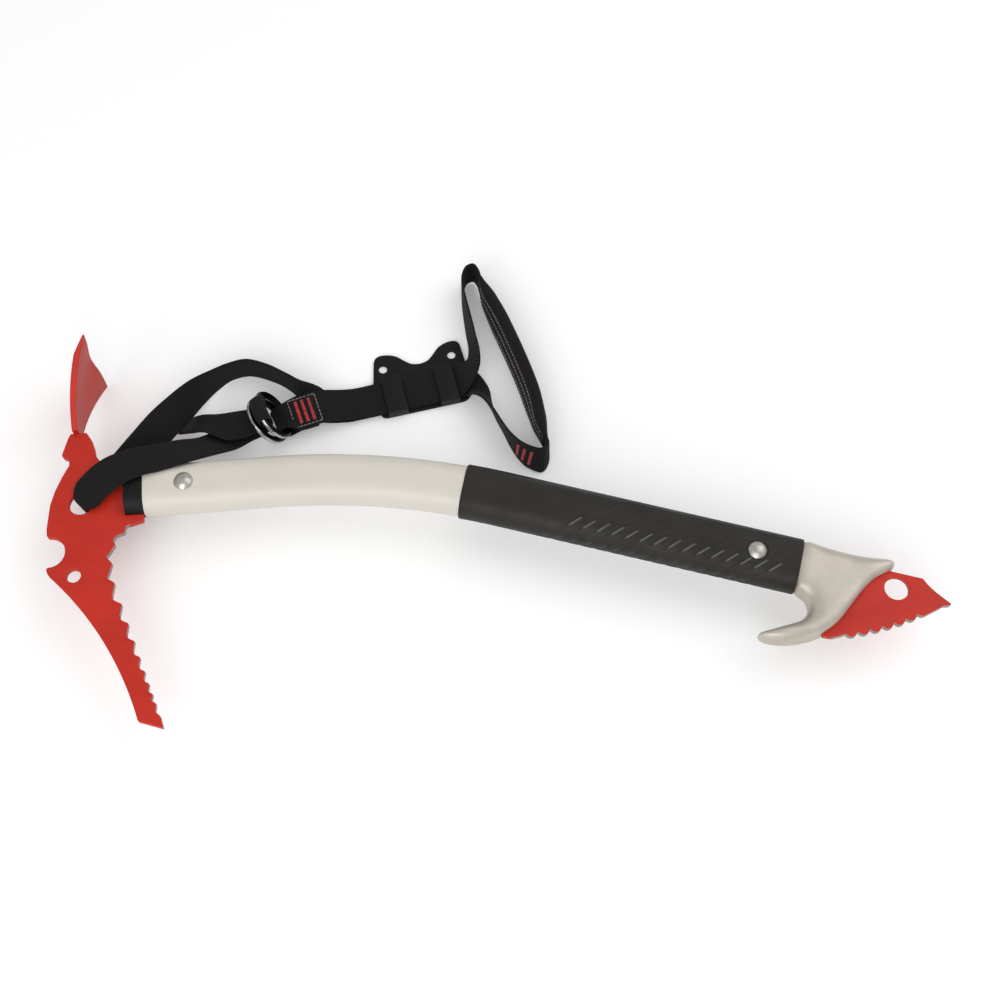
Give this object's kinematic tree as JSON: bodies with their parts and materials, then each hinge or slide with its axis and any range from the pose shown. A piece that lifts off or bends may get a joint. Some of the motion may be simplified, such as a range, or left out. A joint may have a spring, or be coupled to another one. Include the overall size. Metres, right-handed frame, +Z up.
{
  "type": "ice climbing tool",
  "caption": "Short ice tool with a toothed steel pick and adze, bowed tube shaft, rubber grip, hooked finger rest, toothed spike and a webbing wrist leash with a sliding strap lock.",
  "frame": {"origin": "on the table under the middle of the tool's box, without its leash; the tool lies on its side", "axes": "+X along the tool from the head to the spike, +Y from the pick to the adze, +Z up from the table"},
  "size_m": [0.498, 0.2959, 0.062],
  "materials": {
    "red_paint": "satin powder coat on forged steel plate",
    "painted_tube": "off-white satin paint on an aluminium tube",
    "black_nylon": "moulded glass-filled nylon",
    "grip_rubber": "moulded ribbed rubber",
    "cast_alloy": "bead-blasted casting",
    "rivet_steel": "bright domed rivet",
    "black_webbing": "woven nylon tape",
    "pad_cloth": "sewn padded cloth",
    "ring_steel": "black coated wire, worn bright",
    "red_thread": "bar-tack stitching"
  },
  "bodies": {
    "tool": {"head_plate": "red_paint", "adze_blade": "red_paint", "head_insert": "black_nylon", "shaft_tube": "painted_tube", "head_rivet": "rivet_steel", "grip_sleeve": "grip_rubber", "pommel": "cast_alloy", "spike_plate": "red_paint", "rear_rivet": "rivet_steel"},
    "leash": {"sling_webbing": "black_webbing", "wrist_webbing": "black_webbing", "wrist_pad": "pad_cloth", "upper_ring": "ring_steel", "lower_ring": "ring_steel", "keeper_tack": "red_thread"},
    "slider": {"slider_plate": "black_nylon"}
  },
  "joints": [
    {"name": "leash_swing", "type": "hinge", "parent": "tool", "child": "leash", "pos_m": [-0.23178, 0.01837, 0.031], "axis": [0, 0, 1], "range_deg": [0, 20]},
    {"name": "slider_slide", "type": "slide", "parent": "leash", "child": "slider", "axis": [0.9703, 0.2419, 0], "range_m": [-0.012, 0]}
  ]
}
